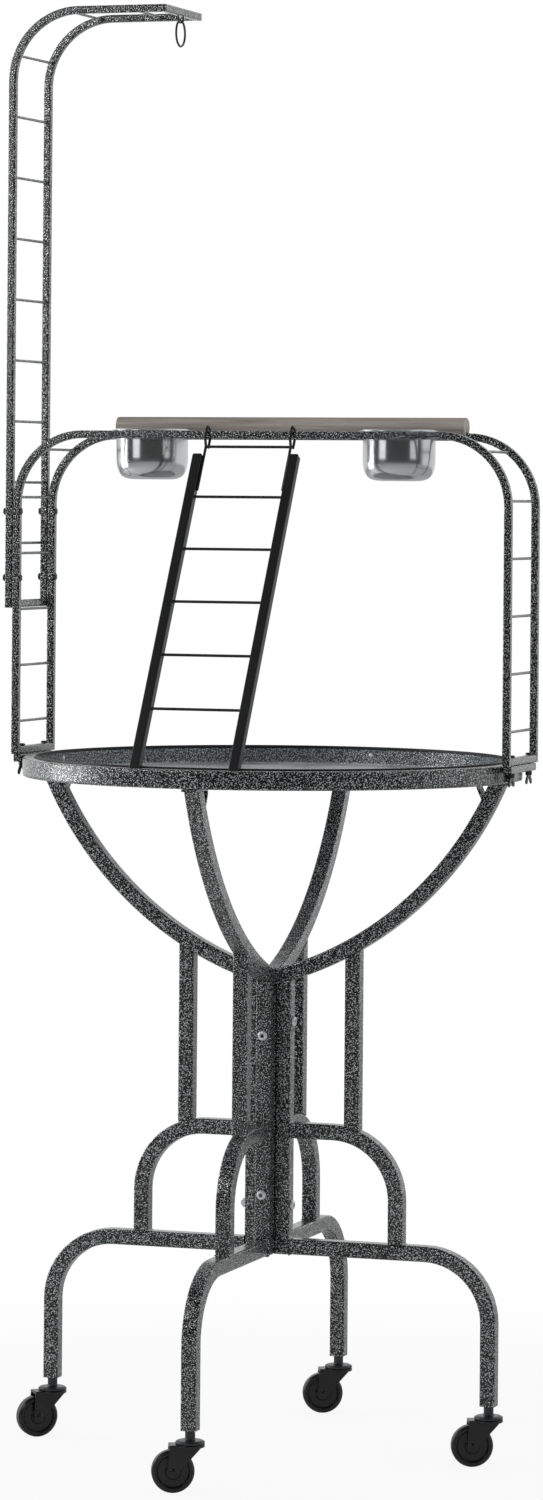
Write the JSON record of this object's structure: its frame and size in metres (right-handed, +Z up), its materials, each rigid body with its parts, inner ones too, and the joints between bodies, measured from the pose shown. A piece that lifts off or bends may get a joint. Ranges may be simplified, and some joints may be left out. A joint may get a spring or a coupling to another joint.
{
  "type": "rolling pet play stand",
  "caption": "Rolling pet play stand: a cross-shaped tube column on caster legs carries a round tray, an arch with perch and cups, a hanging arm and a ladder.",
  "frame": {"origin": "on the floor under the middle of the whole stand", "axes": "+Z up, +X to the right along the arch, +Y to the back, away from the ladder"},
  "size_m": [0.6542, 0.6142, 1.7743],
  "materials": {
    "hammertone": "dark grey and silver hammertone powder coat",
    "pan_grey": "dark grey hammertone powder coat on sheet steel",
    "ladder_black": "near-black powder coat",
    "caster_steel": "black plated steel stem and raceway",
    "caster_black": "black moulded fork",
    "wheel_black": "black wheel, slightly glossy",
    "zinc": "zinc plated",
    "polished_steel": "polished stainless steel",
    "perch_wood": "grey-brown bare wood with long grain"
  },
  "bodies": {
    "stand": {"core_tube": "hammertone", "post_right": "hammertone", "leg_right": "hammertone", "bow_right": "hammertone", "strut_right": "hammertone", "arm_right": "hammertone", "tray_bracket_right": "hammertone", "caster_stem_right": "caster_steel", "post_back": "hammertone", "leg_back": "hammertone", "bow_back": "hammertone", "strut_back": "hammertone", "arm_back": "hammertone", "tray_bracket_back": "hammertone", "caster_stem_back": "caster_steel", "post_left": "hammertone", "leg_left": "hammertone", "bow_left": "hammertone", "strut_left": "hammertone", "arm_left": "hammertone", "tray_bracket_left": "hammertone", "caster_stem_left": "caster_steel", "post_front": "hammertone", "leg_front": "hammertone", "bow_front": "hammertone", "strut_front": "hammertone", "arm_front": "hammertone", "tray_bracket_front": "hammertone", "caster_stem_front": "caster_steel", "column_bolt_side_1": "zinc", "column_bolt_side_2": "zinc", "column_bolt_front_1": "zinc", "column_bolt_front_2": "zinc", "tray_ring": "hammertone", "tray_pan": "pan_grey", "wing_bolt_left_front": "zinc", "wing_bolt_left_back": "zinc", "wing_bolt_right_front": "zinc", "wing_bolt_right_back": "zinc", "arch_frame": "hammertone", "perch": "perch_wood", "hanging_arm": "hammertone", "hanger_bolt_front_1": "zinc", "hanger_bolt_front_2": "zinc", "hanger_bolt_back_1": "zinc", "hanger_bolt_back_2": "zinc"},
    "swivel_right": {"caster_fork_right": "caster_black"},
    "wheel_right": {"caster_wheel_right": "wheel_black"},
    "swivel_back": {"caster_fork_back": "caster_black"},
    "wheel_back": {"caster_wheel_back": "wheel_black"},
    "swivel_left": {"caster_fork_left": "caster_black"},
    "wheel_left": {"caster_wheel_left": "wheel_black"},
    "swivel_front": {"caster_fork_front": "caster_black"},
    "wheel_front": {"caster_wheel_front": "wheel_black"},
    "cup_left": {"cup_left": "polished_steel"},
    "cup_right": {"cup_right": "polished_steel"},
    "ladder": {"ladder": "ladder_black"},
    "toy_ring": {"toy_ring": "zinc"}
  },
  "joints": [
    {"name": "swivel_right", "type": "hinge", "parent": "stand", "child": "swivel_right", "pos_m": [0.28935, 0.00006, 0.057], "axis": [0, 0, 1], "continuous": true},
    {"name": "wheel_spin_right", "type": "hinge", "parent": "swivel_right", "child": "wheel_right", "pos_m": [0.27094, -0.00802, 0.0255], "axis": [0.4019, -0.9157, 0], "continuous": true},
    {"name": "swivel_back", "type": "hinge", "parent": "stand", "child": "swivel_back", "pos_m": [0.00655, 0.28286, 0.057], "axis": [0, 0, 1], "continuous": true},
    {"name": "wheel_spin_back", "type": "hinge", "parent": "swivel_back", "child": "wheel_back", "pos_m": [-0.01185, 0.27478, 0.0255], "axis": [0.4019, -0.9157, 0], "continuous": true},
    {"name": "swivel_left", "type": "hinge", "parent": "stand", "child": "swivel_left", "pos_m": [-0.27625, 0.00006, 0.057], "axis": [0, 0, 1], "continuous": true},
    {"name": "wheel_spin_left", "type": "hinge", "parent": "swivel_left", "child": "wheel_left", "pos_m": [-0.29194, -0.01251, 0.0255], "axis": [0.6252, -0.7804, 0], "continuous": true},
    {"name": "swivel_front", "type": "hinge", "parent": "stand", "child": "swivel_front", "pos_m": [0.00655, -0.28275, 0.057], "axis": [0, 0, 1], "continuous": true},
    {"name": "wheel_spin_front", "type": "hinge", "parent": "swivel_front", "child": "wheel_front", "pos_m": [-0.01185, -0.29082, 0.0255], "axis": [0.4019, -0.9157, 0], "continuous": true},
    {"name": "cup_left_lift", "type": "slide", "parent": "stand", "child": "cup_left", "axis": [0, 0, 1], "range_m": [0, 0.08]},
    {"name": "cup_right_lift", "type": "slide", "parent": "stand", "child": "cup_right", "axis": [0, 0, 1], "range_m": [0, 0.08]},
    {"name": "ladder_swing", "type": "hinge", "parent": "stand", "child": "ladder", "pos_m": [0.00655, -0.05974, 1.2467], "axis": [-1, 0, 0], "range_deg": [0, 70]},
    {"name": "toy_ring_swing", "type": "hinge", "parent": "stand", "child": "toy_ring", "pos_m": [-0.1214, 0.00006, 1.75975], "axis": [0, 1, 0], "range_deg": [-70, 70]}
  ]
}
